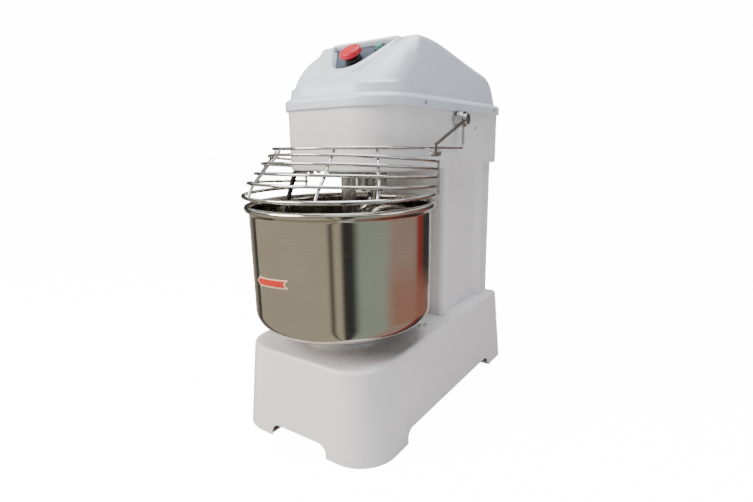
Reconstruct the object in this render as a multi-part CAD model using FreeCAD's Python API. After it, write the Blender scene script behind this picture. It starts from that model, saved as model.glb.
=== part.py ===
import FreeCAD, Part
import math
import os

os.makedirs("parts", exist_ok=True)

# A 30-litre spiral dough mixer. Millimetres, +Z up, +X the machine's right, +Y its rear.
# Every Y below is measured from the bowl's axis. save() then moves each piece by ROW_Y,
# which puts the row's origin under the middle of the whole machine.

# ---- driving dimensions -------------------------------------------------------------------
BOWL_RADIUS_TOP = 204.0
BOWL_RADIUS_LOW = 203.0
BOWL_WALL = 1.5
BOWL_BOTTOM_Z = 247.0
BOWL_CORNER = 42.0
RIM_Z = 517.0
RIM_RING = 207.0
RIM_BEAD = 7.0

BASE_HEIGHT = 204.0
BASE_TOP = (179.5, -166.0, 525.0, 79.0, 14.0)      # half width, front, rear, front and rear corner
BASE_LOW = (200.5, -179.0, 521.0, 87.0, 14.0)
BASE_SKIN = 3.0
NOTCH_HEIGHT = 29.0
NOTCH_FRONT_HALF = 80.0
NOTCH_SIDE = (-37.0, 423.0)
NOTCH_CORNER = 22.0
PLATE = 10.0
BASE_SCREWS = [(130.0, 136.0), (139.0, 148.0), (-130.0, 136.0), (-139.0, 148.0)]
FLANGE_BOLTS = 6
FLANGE_BOLT_RADIUS = 80.0

COLUMN_FRONT = 224.0
COLUMN_REAR = 522.0
COLUMN_HALF = 150.0
COLUMN_RECESS = 13.0
COLUMN_WALL = 3.0
COLUMN_CORNER = 16.0
COLUMN_RAMPS = ((252.0, 276.0), (432.0, 458.0))   # where each side steps in, and back out

HEAD_Z = 591.0
HEAD_TOP = 730.0
HEAD = (160.5, -47.0, 536.0, 99.0, 15.0)
HEAD_SKIN = 2.5

FLANGE_LOW = 723.0
FLANGE_TOP = 748.0
FLANGE = (166.5, -53.0, 542.0, 105.0, 20.0)
COVER_SKIN = 3.0
COVER_LOW = (159.5, -45.0, 535.0, 97.0, 26.0)
COVER_HIGH = (139.0, -24.0, 518.0, 82.0, 30.0)
COVER_HIGH_Z = 890.0
LEDGE_Z = 771.0
SLOPE_Y = -32.6
SLOPE_Z = 764.0
RIDGE_Y = 117.4
RIDGE_Z = 880.0
ROOF_REAR_Z = 829.0
ROOF_REAR_RADIUS = 66.0

PANEL_DEPTH = 9.0
PANEL_LOW_RADIUS = 48.0
PANEL_TOP_HALF = 88.0
PANEL_LOW_V = 118.0
PANEL_TOP_V = 179.0
ESTOP_V = 117.0
START_U = 50.0
START_V = 157.0
SWITCH_BORE = 11.1
MUSHROOM_RADIUS = 26.0
MUSHROOM_LOW = 19.0
MUSHROOM_HIGH = 32.0

HOOK_Y = 125.0
BREAKER_Y = 30.0
COUNTERSHAFT_Y = 300.0
MOTOR_Y = 430.0

SPIRAL_BELT_Z = 695.0
TRANSFER_BELT_Z = 668.0
BOWL_BELT_Z = 61.0
BELT_WIDTH = 16.0
BELT_THICK = 5.0
BELT_GAP = 0.3
MOTOR_PITCH = 24.0
SPIRAL_PITCH = 128.0
TRANSFER_PITCH = 36.0
COUNTER_UPPER_PITCH = 72.0
COUNTER_LOWER_PITCH = 24.0
BOWL_PITCH = 128.0

RUNNING = 0.05
PIVOT_Y = 255.0
PIVOT_Z = 703.0
WIRE = 3.25
RIM_WIRE = 4.25
GUARD_END = (190.0, 100.0)
# radius and centre Y in plan, height at the front, height at the ends, from the bowl upwards
GUARD_RINGS = [(213.5, 544.0, 541.0), (199.0, 573.0, 556.0), (178.0, 593.0, 575.0),
               (158.0, 614.0, 593.0), (138.0, 630.0, 609.0)]
TOP_RING = (180.0, 51.0, 642.0, 639.0)
RIB_TURNS = ((-32.3, -21.5), (-64.4, -55.5), (-115.6, -124.5), (-147.7, -158.5))   # at the foot, at the top

GUARD_FRONT = -(GUARD_RINGS[0][0] + RIM_WIRE)
ROW_Y = -(GUARD_FRONT + FLANGE[2]) / 2.0


# ---- helpers ------------------------------------------------------------------------------
def vec(x, y, z):
    return FreeCAD.Vector(x, y, z)


def save(name, *shapes):
    solids = [s.copy() for shape in shapes for s in shape.Solids]
    for s in solids:
        s.translate(vec(0, ROW_Y, 0))
    body = solids[0] if len(solids) == 1 else Part.makeCompound(solids)
    body.exportStep("parts/" + name + ".step")
    print(name, len(solids), "solid(s)", round(body.Volume / 1000.0, 1), "cm3", body.isValid())


def rod_z(radius, low, high, x=0.0, y=0.0):
    return Part.makeCylinder(radius, high - low, vec(x, y, low))


def rod_x(radius, x0, x1, y, z):
    return Part.makeCylinder(radius, x1 - x0, vec(x0, y, z), vec(1, 0, 0))


def ring_z(outer, inner, low, high, x=0.0, y=0.0):
    return rod_z(outer, low, high, x, y).cut(rod_z(inner, low - 1, high + 1, x, y))


def block(x0, x1, y0, y1, z0, z1):
    return Part.makeBox(x1 - x0, y1 - y0, z1 - z0, vec(x0, y0, z0))


def mirrored(shape):
    return shape.mirror(vec(0, 0, 0), vec(1, 0, 0))


def both_sides(shape):
    return [shape, mirrored(shape)]


def fuse_all(shapes):
    return shapes[0].multiFuse(shapes[1:]).removeSplitter()


def outline(size, z, inset=0.0):
    """A rounded rectangle in plan, with one radius at its front corners and one at the rear."""
    half, front, rear, r_front, r_rear = size
    half, front, rear = half - inset, front + inset, rear - inset
    r_front, r_rear = max(r_front - inset, 2.0), max(r_rear - inset, 2.0)
    k = math.sqrt(0.5)

    def corner(cx, cy, r, sx, sy, first_along_x):
        a = vec(cx, cy + sy * r, z)
        b = vec(cx + sx * r, cy, z)
        mid = vec(cx + sx * r * k, cy + sy * r * k, z)
        return Part.Arc(a, mid, b).toShape() if first_along_x else Part.Arc(b, mid, a).toShape()

    fx, rx = half - r_front, half - r_rear
    fy, ry = front + r_front, rear - r_rear
    edges = [
        Part.makeLine(vec(-fx, front, z), vec(fx, front, z)),
        corner(fx, fy, r_front, 1, -1, True),
        Part.makeLine(vec(half, fy, z), vec(half, ry, z)),
        corner(rx, ry, r_rear, 1, 1, False),
        Part.makeLine(vec(rx, rear, z), vec(-rx, rear, z)),
        corner(-rx, ry, r_rear, -1, 1, True),
        Part.makeLine(vec(-half, ry, z), vec(-half, fy, z)),
        corner(-fx, fy, r_front, -1, -1, False),
    ]
    return Part.Wire(edges)


def slab(wire, height):
    return Part.Face(wire).extrude(vec(0, 0, height))


def frustum(low, low_z, high, high_z, inset=0.0):
    return Part.makeLoft([outline(low, low_z, inset), outline(high, high_z, inset)], True, True)


def polygon_x(points, half):
    """A side profile, given as (y, z) points, drawn out across the machine."""
    pts = [vec(-half, y, z) for y, z in points]
    return Part.Face(Part.makePolygon(pts + [pts[0]])).extrude(vec(2 * half, 0, 0))


def wire_rod(edges, radius):
    """Round bar along a smooth run of edges."""
    path = Part.Wire(edges)
    first = path.OrderedEdges[0]
    start = first.valueAt(first.FirstParameter)
    section = Part.Wire(Part.makeCircle(radius, start, first.tangentAt(first.FirstParameter)))
    return path.makePipeShell([section], True, False)


def bent_path(points, bend):
    """Straight runs through the points, with an arc of radius bend at each inner one."""
    edges = []
    last = points[0]
    for before, corner, after in zip(points, points[1:], points[2:]):
        u = (before - corner).normalize()
        w = (after - corner).normalize()
        half = math.acos(max(-1.0, min(1.0, u.dot(w)))) / 2.0
        reach = bend / math.tan(half)
        a, b = corner + u * reach, corner + w * reach
        mid_dir = (u + w).normalize()
        mid = corner + mid_dir * (bend / math.sin(half) - bend)
        edges.append(Part.makeLine(last, a))
        edges.append(Part.Arc(a, mid, b).toShape())
        last = b
    edges.append(Part.makeLine(last, points[-1]))
    return edges


def hex_bolt(flats, head, radius, length, pos, axis):
    """Hexagon head standing on pos, along axis, with its shank going the other way."""
    corner = flats / math.sqrt(3.0)
    pts = [vec(corner * math.cos(math.radians(60 * k)), corner * math.sin(math.radians(60 * k)), 0)
           for k in range(6)]
    body = Part.Face(Part.makePolygon(pts + [pts[0]])).extrude(vec(0, 0, head))
    body = body.fuse(Part.makeCylinder(radius, length, vec(0, 0, -length)))
    turn = FreeCAD.Rotation(vec(0, 0, 1), axis)
    body.Placement = FreeCAD.Placement(pos, turn)
    return body


def dome_screw(head_radius, head, radius, length, pos, axis):
    """Low domed head standing on pos, along axis, with a cross recess."""
    cap = Part.makeCylinder(head_radius, head)
    cap = cap.makeFillet(head * 0.6, [e for e in cap.Edges if abs(e.CenterOfMass.z - head) < 1e-3])
    slot = head_radius * 1.1
    for w, d in ((slot, 0.9), (0.9, slot)):
        cap = cap.cut(Part.makeBox(w, d, head, vec(-w / 2, -d / 2, head * 0.5)))
    body = cap.fuse(Part.makeCylinder(radius, length, vec(0, 0, -length)))
    body.Placement = FreeCAD.Placement(pos, FreeCAD.Rotation(vec(0, 0, 1), axis))
    return body


def pulley(pitch, bore, low, y, holes=0):
    """Flanged belt pulley whose belt seat lies half a belt under the pitch line."""
    seat = pitch - BELT_THICK / 2.0 - BELT_GAP
    lip = 2.0
    high = low + BELT_WIDTH + 2 * BELT_GAP + 2 * lip
    body = rod_z(seat, low, high, 0, y)
    body = body.fuse([rod_z(seat + 7.0, low, low + lip, 0, y), rod_z(seat + 7.0, high - lip, high, 0, y)])
    if holes:
        face = 6.0
        for a, b in ((low - 1, low + face), (high - face, high + 1)):
            body = body.cut(ring_z(seat - 9.0, bore + 16.0, a, b, 0, y))
        mid = (seat - 9.0 + bore + 16.0) / 2.0
        size = (seat - 9.0 - bore - 16.0) / 2.0 - 6.0
        for k in range(holes):
            a = 2 * math.pi * k / holes
            body = body.cut(rod_z(size, low - 1, high + 1, mid * math.cos(a), y + mid * math.sin(a)))
    return body.cut(rod_z(bore, low - 1, high + 1, 0, y)).removeSplitter()


def belt(pitch_a, y_a, pitch_b, y_b, low):
    """Open flat-backed belt round two pulleys on the machine's middle plane."""
    def loop(offset):
        ra, rb = pitch_a + offset, pitch_b + offset
        span = y_b - y_a
        s = (ra - rb) / span
        c = math.sqrt(1 - s * s)
        z = low + 2.0 + BELT_GAP
        a1, a2 = vec(ra * c, y_a + ra * s, z), vec(-ra * c, y_a + ra * s, z)
        b1, b2 = vec(rb * c, y_b + rb * s, z), vec(-rb * c, y_b + rb * s, z)
        edges = [Part.makeLine(a1, b1), Part.Arc(b1, vec(0, y_b + rb, z), b2).toShape(),
                 Part.makeLine(b2, a2), Part.Arc(a2, vec(0, y_a - ra, z), a1).toShape()]
        return Part.Face(Part.Wire(edges)).extrude(vec(0, 0, BELT_WIDTH))
    return loop(BELT_THICK / 2.0).cut(loop(-BELT_THICK / 2.0))


def bearing(outer, bore, low, width, y):
    """Sealed ball bearing: two rings with a shield groove on each face."""
    body = ring_z(outer, bore + RUNNING, low, low + width, 0, y)
    mid = (outer + bore) / 2.0
    third = (outer - bore) / 6.0
    for a, b in ((low - 1, low + 1), (low + width - 1, low + width + 1)):
        body = body.cut(ring_z(mid + third, mid - third, a, b, 0, y))
    return body


# ---- base ---------------------------------------------------------------------------------
def base_notches():
    """Arched gaps between the feet, through the front, the rear and both sides."""
    half_front, (side_a, side_b), r = NOTCH_FRONT_HALF, NOTCH_SIDE, NOTCH_CORNER
    front = block(-half_front, half_front, -260, 600, -10, NOTCH_HEIGHT)
    side = block(-260, 260, side_a, side_b, -10, NOTCH_HEIGHT)
    front = front.makeFillet(r, [e for e in front.Edges if e.BoundBox.YLength > 500
                                 and e.CenterOfMass.z > 0])
    side = side.makeFillet(r, [e for e in side.Edges if e.BoundBox.XLength > 500
                               and e.CenterOfMass.z > 0])
    return front.fuse(side)


def base_hollow():
    inner = frustum(BASE_LOW, 0, BASE_TOP, BASE_HEIGHT - BASE_SKIN, BASE_SKIN)
    return inner.makeFillet(7.0, [e for e in inner.Edges
                                  if abs(e.BoundBox.ZMin - BASE_HEIGHT + BASE_SKIN) < 1e-3])


def base_shell():
    outer = frustum(BASE_LOW, 0, BASE_TOP, BASE_HEIGHT)
    top_edges = [e for e in outer.Edges if abs(e.BoundBox.ZMin - BASE_HEIGHT) < 1e-3]
    outer = outer.makeFillet(9.0, top_edges)
    shell = outer.cut(base_hollow()).cut(base_notches())
    shell = shell.cut(rod_z(48.0, 190, 210))
    shell = shell.cut(rod_z(16.0, 190, 210, 0, COUNTERSHAFT_Y))
    for x, y in BASE_SCREWS:
        shell = shell.cut(rod_z(3.0, 195, 210, x, y))
    for k in range(FLANGE_BOLTS):
        x, y = flange_bolt(k)
        shell = shell.cut(rod_z(5.0, 190, 210, x, y))
    return shell


def flange_bolt(k):
    a = math.radians(-80 + 360 * k / FLANGE_BOLTS)
    return FLANGE_BOLT_RADIUS * math.cos(a), FLANGE_BOLT_RADIUS * math.sin(a)


PLATE_TOP = BASE_HEIGHT - BASE_SKIN
PLATE_LOW = PLATE_TOP - PLATE

save("base_shell", base_shell())

base_plate = slab(outline((160.0, -145.0, 505.0, 65.0, 10.0), PLATE_LOW), PLATE)
base_plate = base_plate.cut(rod_z(48.0, 100, 210)).cut(rod_z(16.0, 100, 210, 0, COUNTERSHAFT_Y))
for k in range(FLANGE_BOLTS):
    bx, by = flange_bolt(k)
    base_plate = base_plate.cut(rod_z(5.0, 100, 210, bx, by))
for bx, by in BASE_SCREWS:
    base_plate = base_plate.cut(rod_z(3.0, 100, 210, bx, by))
save("base_plate", base_plate)

FOOT_EDGE = NOTCH_FRONT_HALF + 4.0
foot_corners = [block(FOOT_EDGE, 230, -260, NOTCH_SIDE[0] - 4, 0, 8),
                block(FOOT_EDGE, 230, NOTCH_SIDE[1] + 4, 600, 0, 8)]
foot_plates = []
for corner in foot_corners:
    foot_plates += both_sides(base_hollow().common(corner))
save("foot_plates", *foot_plates)

casing_screws = [dome_screw(6.0, 3.5, 3.0, 12.0, vec(x, y, BASE_HEIGHT), vec(0, 0, 1))
                 for x, y in BASE_SCREWS]


# ---- column -------------------------------------------------------------------------------
def column_outline(z, inset=0.0):
    """Corner posts with a soft-edged sunk panel between them on each side."""
    half = COLUMN_HALF - inset
    sunk = COLUMN_HALF - COLUMN_RECESS - inset
    front, rear = COLUMN_FRONT + inset, COLUMN_REAR - inset
    r = COLUMN_CORNER - inset
    k = r * (1 - math.sqrt(0.5))
    (ramp_a, ramp_b), (ramp_c, ramp_d) = COLUMN_RAMPS
    side = [(half, front + r), (half, ramp_a), (sunk, ramp_b),
            (sunk, ramp_c), (half, ramp_d), (half, rear - r)]
    right = [vec(x, y, z) for x, y in side]
    left = [vec(-x, y, z) for x, y in side[::-1]]
    front_left, front_right = vec(-half + r, front, z), vec(half - r, front, z)
    rear_left, rear_right = vec(-half + r, rear, z), vec(half - r, rear, z)
    edges = [Part.makeLine(front_left, front_right),
             Part.Arc(front_right, vec(half - k, front + k, z), right[0]).toShape()]
    edges += [Part.makeLine(a, b) for a, b in zip(right, right[1:])]
    edges += [Part.Arc(right[-1], vec(half - k, rear - k, z), rear_right).toShape(),
              Part.makeLine(rear_right, rear_left),
              Part.Arc(rear_left, vec(-half + k, rear - k, z), left[0]).toShape()]
    edges += [Part.makeLine(a, b) for a, b in zip(left, left[1:])]
    edges += [Part.Arc(left[-1], vec(-half + k, front + k, z), front_left).toShape()]
    return Part.Wire(edges)


REAR_WINDOW = (105.0, 262.0, 548.0)
GLAND = (95.0, 230.0)
column = slab(column_outline(BASE_HEIGHT), HEAD_Z - BASE_HEIGHT)
column = column.cut(slab(column_outline(BASE_HEIGHT, COLUMN_WALL), HEAD_Z - BASE_HEIGHT))
column = column.cut(block(-REAR_WINDOW[0], REAR_WINDOW[0], 500, 540, REAR_WINDOW[1], REAR_WINDOW[2]))
column = column.cut(Part.makeCylinder(8.0, 60, vec(GLAND[0], 500, GLAND[1]), vec(0, 1, 0)))
rear_screws = [(sx * 116.0, z) for sx in (-1, 1) for z in (272.0, 405.0, 538.0)]
for sx, sz in rear_screws:
    column = column.cut(Part.makeCylinder(2.5, 60, vec(sx, 500, sz), vec(0, 1, 0)))
save("column_shell", column)

rear_cover = block(-124, 124, COLUMN_REAR, COLUMN_REAR + 2, 250, 560)
rear_cover = rear_cover.makeFillet(10.0, [e for e in rear_cover.Edges if e.BoundBox.YLength > 1.5
                                          and e.BoundBox.XLength < 0.1 and e.BoundBox.ZLength < 0.1])
for n in range(8):
    rear_cover = rear_cover.cut(block(-70, 70, 500, 540, 420 + 14 * n, 425 + 14 * n))
for sx, sz in rear_screws:
    rear_cover = rear_cover.cut(Part.makeCylinder(2.5, 60, vec(sx, 500, sz), vec(0, 1, 0)))
save("rear_cover", rear_cover)
casing_screws += [dome_screw(5.0, 2.5, 2.5, 8.0, vec(x, COLUMN_REAR + 2, z), vec(0, 1, 0))
                  for x, z in rear_screws]

gland = hex_bolt(26.0, 6.0, 8.0, 10.0, vec(GLAND[0], COLUMN_REAR, GLAND[1]), vec(0, 1, 0))
gland_nose = Part.makeCone(11.0, 8.0, 10.0, vec(GLAND[0], COLUMN_REAR + 6, GLAND[1]), vec(0, 1, 0))
gland_bore = Part.makeCylinder(4.5, 60, vec(GLAND[0], 500, GLAND[1]), vec(0, 1, 0))
save("cable_gland", gland.fuse(gland_nose).cut(gland_bore))

# ---- head ---------------------------------------------------------------------------------
FLOOR_TOP = HEAD_Z + HEAD_SKIN
PLATE_Z = FLOOR_TOP + PLATE
COVER_SCREWS = [(92.0, 734.0), (484.0, 736.0)]
SIDE_SCREW = (372.0, 685.0)
BREAKER_BOLTS = [(x, BREAKER_Y + y) for x in (-24.0, 24.0) for y in (-24.0, 24.0)]
SCRAPER_TOP = (-136.0, -2.0)
SCRAPER_BOLTS = [(-116.0, 34.0), (-116.0, 60.0)]


def head_casing():
    outer = slab(outline(HEAD, HEAD_Z), HEAD_TOP - HEAD_Z)
    outer = outer.makeFillet(5.0, [e for e in outer.Edges if abs(e.BoundBox.ZMax - HEAD_Z) < 1e-3])
    body = outer.cut(slab(outline(HEAD, FLOOR_TOP, HEAD_SKIN), HEAD_TOP))
    body = body.cut(block(-122, 122, 236, 508, HEAD_Z - 1, FLOOR_TOP + 1))
    body = body.cut(rod_z(30.0, HEAD_Z - 5, FLOOR_TOP + 1, 0, HOOK_Y))
    for x, y in BREAKER_BOLTS + SCRAPER_BOLTS:
        body = body.cut(rod_z(4.0, HEAD_Z - 1, FLOOR_TOP + 1, x, y))
    for y, z in [SIDE_SCREW]:
        body = body.cut(rod_x(2.5, -200, 200, y, z))
    return body.cut(rod_x(13.0, -200, 200, PIVOT_Y, PIVOT_Z))


save("head_casing", head_casing())

head_plate = slab(outline((148.0, -34.0, 520.0, 86.0, 12.0), FLOOR_TOP), PLATE)
head_plate = head_plate.cut(rod_z(30.0, 580, 620, 0, HOOK_Y))
head_plate = head_plate.cut(rod_z(16.0, 580, 620, 0, COUNTERSHAFT_Y))
head_plate = head_plate.cut(rod_z(20.0, 580, 620, 0, MOTOR_Y))
for bx, by in BREAKER_BOLTS + SCRAPER_BOLTS:
    head_plate = head_plate.cut(rod_z(4.0, 580, 620, bx, by))
MOTOR_BOLTS = [(58 * math.cos(math.radians(a)), MOTOR_Y + 58 * math.sin(math.radians(a)))
               for a in (45, 135, 225, 315)]
for bx, by in MOTOR_BOLTS:
    head_plate = head_plate.cut(rod_z(4.0, 580, 620, bx, by))
save("head_plate", head_plate)
casing_screws += both_sides(dome_screw(4.0, 1.8, 2.5, 6.0, vec(HEAD[0], *SIDE_SCREW), vec(1, 0, 0)))

# ---- top cover ----------------------------------------------------------------------------
SLOPE = math.atan2(RIDGE_Z - SLOPE_Z, RIDGE_Y - SLOPE_Y)
PANEL_TURN = FreeCAD.Rotation(vec(1, 0, 0), math.degrees(SLOPE))
SLOPE_PLACE = FreeCAD.Placement(vec(0, SLOPE_Y, SLOPE_Z), PANEL_TURN)


def roof_profile(drop):
    """Side profile of the cover: front slope, ridge, long fall to a rounded rear. drop is the skin."""
    rear, top, r = COVER_LOW[2] - 1 - drop, ROOF_REAR_Z - drop, ROOF_REAR_RADIUS
    rear_arc = [(rear - r * (1 - math.sin(t)), top - r * (1 - math.cos(t)))
                for t in [math.radians(10 + 16 * k) for k in range(6)]]
    below, ahead, behind = 700.0, -60.0, 560.0
    slope_drop = drop / math.cos(SLOPE)
    return ([(ahead, below), (ahead, SLOPE_Z + (ahead - SLOPE_Y) * math.tan(SLOPE) - slope_drop),
             (RIDGE_Y - 8, RIDGE_Z - 8 * math.tan(SLOPE) - slope_drop), (RIDGE_Y + 6, RIDGE_Z - 1.5 - drop),
             (RIDGE_Y + 80, RIDGE_Z - 3.5 - drop)] + rear_arc + [(behind - drop, below)])


def panel_outline(grow):
    """Shield-shaped pocket in the slope's own plane: round below, wider at the ridge."""
    r, half, top = PANEL_LOW_RADIUS + grow, PANEL_TOP_HALF + grow, PANEL_TOP_V + grow
    dx, dy = half, top - PANEL_LOW_V
    a = math.atan2(dy, dx) - math.acos(r / math.hypot(dx, dy))
    touch = vec(r * math.cos(a), PANEL_LOW_V + r * math.sin(a), 0)
    other = vec(-touch.x, touch.y, 0)
    left, right = vec(-half, top, 0), vec(half, top, 0)
    bottom = Part.Arc(touch, vec(0, PANEL_LOW_V - r, 0), other).toShape()
    return Part.Wire([Part.makeLine(left, right), Part.makeLine(right, touch), bottom,
                      Part.makeLine(other, left)])


def on_slope(shape, lift):
    placed = shape.copy()
    placed.translate(vec(0, 0, lift))
    placed.Placement = SLOPE_PLACE.multiply(placed.Placement)
    return placed


def pocket(grow, depth):
    return on_slope(Part.Face(panel_outline(grow)).extrude(vec(0, 0, 120)), -depth)


def cover_body(low_z, drop):
    """Tapering walls under the roof, with a skirt that stands ahead of the slope's foot."""
    walls = frustum(COVER_LOW, low_z, COVER_HIGH, COVER_HIGH_Z, drop)
    skirt = walls.common(block(-200, 200, -60, SLOPE_Y + 40, 700, LEDGE_Z - drop))
    return walls.common(polygon_x(roof_profile(drop), 200)).fuse(skirt)


def top_cover():
    outer = cover_body(FLANGE_TOP - 1, 0.0)
    inner = cover_body(FLANGE_TOP - 2, COVER_SKIN)
    outer = outer.cut(pocket(0.0, PANEL_DEPTH))
    inner = inner.cut(pocket(COVER_SKIN, PANEL_DEPTH + COVER_SKIN))
    band = slab(outline(FLANGE, FLANGE_LOW), FLANGE_TOP - FLANGE_LOW)
    band = band.makeFillet(5.0, [e for e in band.Edges if abs(e.BoundBox.ZMin - FLANGE_TOP) < 1e-3])
    inside = slab(outline(HEAD, FLANGE_LOW), HEAD_TOP - FLANGE_LOW)
    inside = inside.fuse(slab(outline(HEAD, HEAD_TOP, COVER_SKIN), 30))
    body = band.fuse(outer).cut(inside).cut(inner)
    for y, z in COVER_SCREWS:
        body = body.cut(rod_x(2.5, -200, 200, y, z))
    for u, v in ((0, ESTOP_V), (START_U, START_V)):
        hole = Part.makeCylinder(SWITCH_BORE, 40, vec(u, v, -30))
        body = body.cut(on_slope(hole, 0))
    return body.removeSplitter()


save("top_cover", top_cover())
for sy, sz in COVER_SCREWS:
    casing_screws += both_sides(dome_screw(4.5, 2.2, 2.5, 9.0, vec(FLANGE[0], sy, sz), vec(1, 0, 0)))
save("casing_screws", *casing_screws)

# ---- control panel ------------------------------------------------------------------------
panel = Part.Face(panel_outline(-1.0)).extrude(vec(0, 0, 2.0))
panel = panel.cut(Part.makeCylinder(SWITCH_BORE, 10, vec(0, ESTOP_V, -5)))
panel = panel.cut(Part.makeCylinder(SWITCH_BORE, 10, vec(START_U, START_V, -5)))
save("control_panel", on_slope(panel, -PANEL_DEPTH))


def barrel(u, v, collar_radius, collar_height, stem_bore, reach):
    """Switch body behind the panel, with a collar on its face and a bore for its stem."""
    body = Part.makeCylinder(11.0, reach, vec(u, v, -reach - 5.0)).fuse(
        Part.makeCylinder(11.0, 7.0, vec(u, v, -5.0)))
    body = body.fuse(Part.makeCylinder(15.0, 18.0, vec(u, v, -reach - 5.0)))
    collar = Part.makeCylinder(collar_radius, collar_height, vec(u, v, 2.0))
    top = 2.0 + collar_height
    collar = collar.makeFillet(1.5, [e for e in collar.Edges if abs(e.CenterOfMass.z - top) < 1e-3])
    return body.fuse(collar).cut(Part.makeCylinder(stem_bore, 60, vec(u, v, -reach + 14.0)))


save("estop_switch", on_slope(barrel(0.0, ESTOP_V, 19.0, 9.0, 8.05, 32.0), -PANEL_DEPTH))
save("start_switch", on_slope(barrel(START_U, START_V, 14.5, 5.0, 9.05, 32.0), -PANEL_DEPTH))

mushroom = Part.makeCylinder(MUSHROOM_RADIUS, MUSHROOM_HIGH - MUSHROOM_LOW, vec(0, ESTOP_V, MUSHROOM_LOW))
for edge_z, fillet in ((MUSHROOM_HIGH, 7.0), (MUSHROOM_LOW, 2.0)):
    rim = [e for e in mushroom.Edges if abs(e.CenterOfMass.z - edge_z) < 1e-3]
    mushroom = mushroom.makeFillet(fillet, rim)
mushroom = mushroom.fuse(Part.makeCylinder(8.0, MUSHROOM_LOW + 12.0, vec(0, ESTOP_V, -11.0)))
save("estop_button", on_slope(mushroom, -PANEL_DEPTH))

start = Part.makeCylinder(9.0, 26.0, vec(START_U, START_V, -12.0))
start = start.makeFillet(2.0, [e for e in start.Edges if abs(e.CenterOfMass.z - 14.0) < 1e-3])
save("start_button", on_slope(start, -PANEL_DEPTH))


# ---- bowl and its turntable ---------------------------------------------------------------
def bowl_side(inset):
    """Half profile from the axis out and up to the rim, as edges in the XZ plane."""
    low, corner = BOWL_BOTTOM_Z + inset, BOWL_CORNER - inset
    r_low, r_top = BOWL_RADIUS_LOW - inset, BOWL_RADIUS_TOP - inset
    k = corner * (1 - math.sqrt(0.5))
    a, b = vec(0, 0, low), vec(r_low - corner, 0, low)
    c, d = vec(r_low, 0, low + corner), vec(r_top, 0, RIM_Z)
    return [Part.makeLine(a, b), Part.Arc(b, vec(r_low - k, 0, low + k), c).toShape(), Part.makeLine(c, d)]


def revolve_profile(edges, top):
    last = edges[-1].Vertexes[-1].Point
    first = edges[0].Vertexes[0].Point
    wire = Part.Wire(edges + [Part.makeLine(last, vec(0, 0, top)), Part.makeLine(vec(0, 0, top), first)])
    return Part.Face(wire).revolve(vec(0, 0, 0), vec(0, 0, 1), 360)


bowl = revolve_profile(bowl_side(0.0), RIM_Z)
bowl = bowl.fuse(Part.makeTorus(RIM_RING, RIM_BEAD, vec(0, 0, RIM_Z)))
hollow = revolve_profile(bowl_side(BOWL_WALL), RIM_Z)
hollow = hollow.fuse(rod_z(BOWL_RADIUS_TOP - BOWL_WALL, RIM_Z, RIM_Z + 30))
save("bowl", bowl.cut(hollow))

SHAFT_TOP = 236.0
turntable = rod_z(104.0, 237.0, BOWL_BOTTOM_Z).fuse(rod_z(40.0, 218.0, 237.0))
turntable = turntable.makeFillet(3.0, [e for e in turntable.Edges if abs(e.CenterOfMass.z - 237.0) < 1e-3
                                       and e.BoundBox.XLength > 150])
save("bowl_turntable", turntable.cut(rod_z(20.0, 210.0, SHAFT_TOP)))
save("bowl_shaft", rod_z(20.0, 54.0, SHAFT_TOP))
save("bowl_pulley", pulley(BOWL_PITCH, 20.0, BOWL_BELT_Z, 0.0, 6))

housing = rod_z(95.0, BASE_HEIGHT, 214.0).fuse(rod_z(48.0, 100.0, BASE_HEIGHT)).cut(rod_z(40.0, 90, 220))
housing = housing.fuse(ring_z(44.0, 22.0, 98.0, 102.0))
for k in range(FLANGE_BOLTS):
    bx, by = flange_bolt(k)
    housing = housing.cut(rod_z(5.0, 200, 220, bx, by))
save("bowl_bearing_housing", housing)
save("bowl_bearings", bearing(40.0, 20.0, 102.0, 18.0, 0.0), bearing(40.0, 20.0, 190.0, 18.0, 0.0))
save("bearing_flange_bolts", *[hex_bolt(16.0, 6.5, 5.0, 23.0, vec(*flange_bolt(k), 214.0), vec(0, 0, 1))
                               for k in range(FLANGE_BOLTS)])

# direction arrow, a thin curved label on the bowl's wall
ARROW_Z = 378.0
ARROW_TIP, ARROW_NECK, ARROW_TAIL, ARROW_NOTCH = -83.0, -62.0, 24.0, 14.0
ARROW_HALF, ARROW_WING = 9.5, 14.0
ARROW_TILT = 0.08
arrow = [(ARROW_TIP, 0), (ARROW_NECK, ARROW_WING), (ARROW_NECK, ARROW_HALF), (ARROW_TAIL, ARROW_HALF),
         (ARROW_NOTCH, 0), (ARROW_TAIL, -ARROW_HALF), (ARROW_NECK, -ARROW_HALF), (ARROW_NECK, -ARROW_WING)]
arrow_points = [vec(x, -260, ARROW_Z + z + ARROW_TILT * x) for x, z in arrow]
arrow_prism = Part.Face(Part.makePolygon(arrow_points + [arrow_points[0]])).extrude(vec(0, 260, 0))
taper = (BOWL_RADIUS_TOP - BOWL_RADIUS_LOW) / (RIM_Z - BOWL_BOTTOM_Z - BOWL_CORNER)


def wall_radius(z, extra):
    return BOWL_RADIUS_LOW + (z - BOWL_BOTTOM_Z - BOWL_CORNER) * taper + extra


def wall_cone(extra):
    low, high = ARROW_Z - 20, ARROW_Z + 20
    return Part.makeCone(wall_radius(low, extra), wall_radius(high, extra), high - low, vec(0, 0, low))


save("direction_arrow", wall_cone(0.3).cut(wall_cone(0.0)).common(arrow_prism))

# ---- spiral hook --------------------------------------------------------------------------
HOOK_ROD = 11.0
HOOK_SWEEP = 52.0
HOOK_TOP_Z = 536.0
HOOK_LOW_Z = 272.0
HOOK_TURNS = 1.45
HOOK_START = math.radians(-100)


def ease(t):
    t = max(0.0, min(1.0, t))
    return t * t * (3 - 2 * t)


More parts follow.
